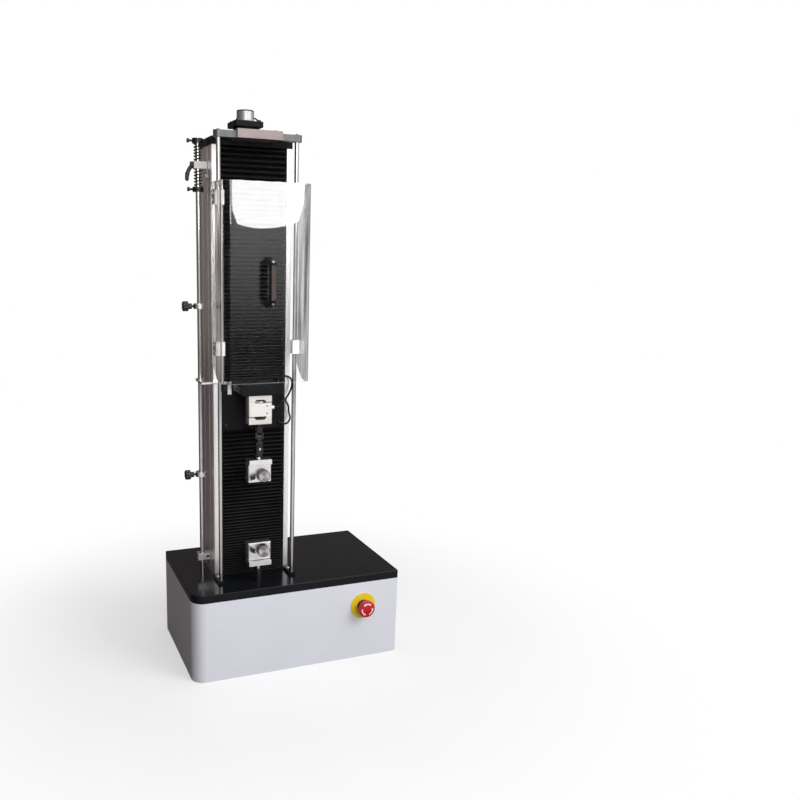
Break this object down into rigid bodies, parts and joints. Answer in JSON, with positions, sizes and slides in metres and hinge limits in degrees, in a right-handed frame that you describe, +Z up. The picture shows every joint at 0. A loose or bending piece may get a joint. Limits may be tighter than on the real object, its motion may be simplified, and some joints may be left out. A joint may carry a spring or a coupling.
{
  "type": "universal testing machine",
  "caption": "Bench-top single-column tensile testing machine: base box, screw-driven crosshead with load cell and screw grips, lift-up clear guard and emergency stop.",
  "frame": {"origin": "centre of the base's footprint on the bench", "axes": "+X to the operator's right, +Y to the back, +Z up along the column"},
  "size_m": [0.48, 0.3462, 1.1935],
  "materials": {
    "base_paint": "satin light grey powder coat",
    "lid_black": "glossy black",
    "zinc_steel": "zinc plated steel",
    "anodised": "satin anodised aluminium",
    "brushed_alloy": "brushed aluminium",
    "black_alloy": "black anodised aluminium",
    "bright_steel": "turned bright steel",
    "rod_chrome": "ground chromed rod",
    "dark_steel": "blackened steel",
    "motor_black": "black motor housing",
    "bellows_cloth": "coated black bellows cloth",
    "black_rubber": "black rubber",
    "cord_black": "black cable jacket",
    "black_plastic": "matt black plastic",
    "dark_plastic": "dark moulded plastic",
    "white_plastic": "white acetal",
    "clear_guard": "clear acrylic sheet",
    "red_plastic": "red plastic",
    "yellow_disc": "yellow plastic"
  },
  "bodies": {
    "frame": {"base_shell": "base_paint", "base_floor": "zinc_steel", "base_lid": "lid_black", "drive_motor": "motor_black", "motor_mount": "zinc_steel", "drive_belt": "black_rubber", "control_unit": "zinc_steel", "power_inlet": "dark_plastic", "estop_disc": "yellow_disc", "estop_collar": "black_plastic", "column_extrusion": "anodised", "column_top_plate": "black_alloy", "screw_bearings": "dark_steel", "linear_rails": "bright_steel", "upper_bellows": "bellows_cloth", "lower_bellows": "bellows_cloth", "encoder_bracket": "black_alloy", "encoder": "brushed_alloy", "guard_crossbar": "anodised", "crossbar_block": "brushed_alloy", "guard_rods": "rod_chrome", "guard_rod_feet": "black_alloy", "limit_switch_block": "white_plastic", "limit_rod_bracket": "anodised", "base_adapter": "dark_steel", "lower_grip_body": "bright_steel", "upper_trip_spring": "bright_steel", "lower_trip_spring": "bright_steel"},
    "screw": {"ball_screw": "bright_steel"},
    "motor_rotor": {"motor_pulley": "bright_steel"},
    "crosshead": {"carriage_bearings": "bright_steel", "crosshead_carriage": "black_alloy", "crosshead_arm": "black_alloy", "trigger_arm": "bright_steel", "load_cell_body": "brushed_alloy", "load_cell_covers": "brushed_alloy", "load_cell_lead": "cord_black", "crosshead_cable": "cord_black", "cell_clevis": "dark_steel"},
    "cross": {"coupling_cross": "dark_steel"},
    "upper_grip": {"grip_eye": "dark_steel", "upper_grip_body": "bright_steel"},
    "upper_jaw": {"upper_front_jaw": "bright_steel"},
    "upper_clamp": {"upper_clamp_knob": "bright_steel"},
    "upper_lock": {"upper_lock_screw": "bright_steel"},
    "lower_jaw": {"lower_front_jaw": "bright_steel"},
    "lower_clamp": {"lower_clamp_knob": "bright_steel"},
    "lower_lock": {"lower_lock_screw": "bright_steel"},
    "guard": {"guard_shell": "clear_guard", "guard_sliders": "white_plastic", "guard_handle": "black_plastic"},
    "limit_rod": {"limit_rod": "rod_chrome"},
    "upper_stop": {"upper_stop_collar": "bright_steel"},
    "lower_stop": {"lower_stop_collar": "bright_steel"},
    "upper_star": {"upper_star_knob": "black_plastic"},
    "lower_star": {"lower_star_knob": "black_plastic"},
    "limit_lever": {"limit_lever": "black_plastic"},
    "rocker": {"power_rocker": "red_plastic"},
    "estop_stem": {"estop_stem": "dark_plastic"},
    "estop_head": {"estop_head": "red_plastic"}
  },
  "joints": [
    {"name": "screw_spin", "type": "hinge", "parent": "frame", "child": "screw", "pos_m": [-0.083, 0, 0.16], "axis": [0, 0, 1], "range_deg": [-10080, 7920]},
    {"name": "crosshead_travel", "type": "slide", "parent": "frame", "child": "crosshead", "axis": [0, 0, 1], "range_m": [-0.11, 0.14], "deforming": ["upper_bellows", "lower_bellows"]},
    {"name": "motor_spin", "type": "hinge", "parent": "frame", "child": "motor_rotor", "pos_m": [0.055, 0, 0.16], "axis": [0, 0, 1], "range_deg": [-20160, 15840]},
    {"name": "cross_tilt", "type": "hinge", "parent": "crosshead", "child": "cross", "pos_m": [-0.083, -0.1, 0.5255], "axis": [1, 0, 0], "range_deg": [-8, 8]},
    {"name": "eye_tilt", "type": "hinge", "parent": "cross", "child": "upper_grip", "pos_m": [-0.083, -0.1, 0.5005], "axis": [0, 1, 0], "range_deg": [-8, 8]},
    {"name": "upper_jaw_slide", "type": "slide", "parent": "upper_grip", "child": "upper_jaw", "axis": [0, -1, 0], "range_m": [0, 0.006]},
    {"name": "upper_clamp_turn", "type": "hinge", "parent": "upper_jaw", "child": "upper_clamp", "pos_m": [-0.077, -0.115, 0.4435], "axis": [0, -1, 0], "range_deg": [0, 1440]},
    {"name": "upper_lock_turn", "type": "hinge", "parent": "upper_jaw", "child": "upper_lock", "pos_m": [-0.1, -0.115, 0.4415], "axis": [0, -1, 0], "range_deg": [-90, 90]},
    {"name": "lower_jaw_slide", "type": "slide", "parent": "frame", "child": "lower_jaw", "axis": [0, -1, 0], "range_m": [0, 0.006]},
    {"name": "lower_clamp_turn", "type": "hinge", "parent": "lower_jaw", "child": "lower_clamp", "pos_m": [-0.077, -0.115, 0.2755], "axis": [0, -1, 0], "range_deg": [0, 1440]},
    {"name": "lower_lock_turn", "type": "hinge", "parent": "lower_jaw", "child": "lower_lock", "pos_m": [-0.1, -0.115, 0.2775], "axis": [0, -1, 0], "range_deg": [-90, 90]},
    {"name": "guard_slide", "type": "slide", "parent": "frame", "child": "guard", "axis": [0, 0, 1], "range_m": [-0.42, 0.06]},
    {"name": "limit_rod_slide", "type": "slide", "parent": "frame", "child": "limit_rod", "axis": [0, 0, 1], "range_m": [-0.008, 0.008], "stiffness_N_per_m": 12000, "springref_m": 0.0006, "deforming": ["upper_trip_spring", "lower_trip_spring"]},
    {"name": "upper_stop_slide", "type": "slide", "parent": "limit_rod", "child": "upper_stop", "axis": [0, 0, 1], "range_m": [0, 0.2]},
    {"name": "lower_stop_slide", "type": "slide", "parent": "limit_rod", "child": "lower_stop", "axis": [0, 0, 1], "range_m": [-0.15, 0]},
    {"name": "upper_star_turn", "type": "hinge", "parent": "upper_stop", "child": "upper_star", "pos_m": [-0.202, -0.004, 0.795], "axis": [-1, 0, 0], "range_deg": [0, 360]},
    {"name": "lower_star_turn", "type": "hinge", "parent": "lower_stop", "child": "lower_star", "pos_m": [-0.202, -0.004, 0.4275], "axis": [-1, 0, 0], "range_deg": [0, 360]},
    {"name": "limit_lever_swing", "type": "hinge", "parent": "frame", "child": "limit_lever", "pos_m": [-0.196, -0.004, 1.0805], "axis": [1, 0, 0], "range_deg": [-30, 30]},
    {"name": "rocker_tilt", "type": "hinge", "parent": "frame", "child": "rocker", "pos_m": [-0.15, 0.145, 0.115], "axis": [1, 0, 0], "range_deg": [-20, 0]},
    {"name": "estop_press", "type": "slide", "parent": "frame", "child": "estop_stem", "axis": [0, 1, 0], "range_m": [0, 0.0045], "stiffness_N_per_m": 3000},
    {"name": "estop_twist", "type": "hinge", "parent": "estop_stem", "child": "estop_head", "pos_m": [0.1525, -0.16, 0.126], "axis": [0, -1, 0], "range_deg": [0, 45]}
  ],
  "couplings": [
    {"joint": "crosshead_travel", "follows": "screw_spin", "m_per_rad": -0.00079577},
    {"joint": "motor_spin", "follows": "screw_spin", "ratio": 2},
    {"joint": "upper_clamp_turn", "follows": "upper_jaw_slide", "rad_per_m": 4188.8},
    {"joint": "lower_clamp_turn", "follows": "lower_jaw_slide", "rad_per_m": 4188.8}
  ]
}
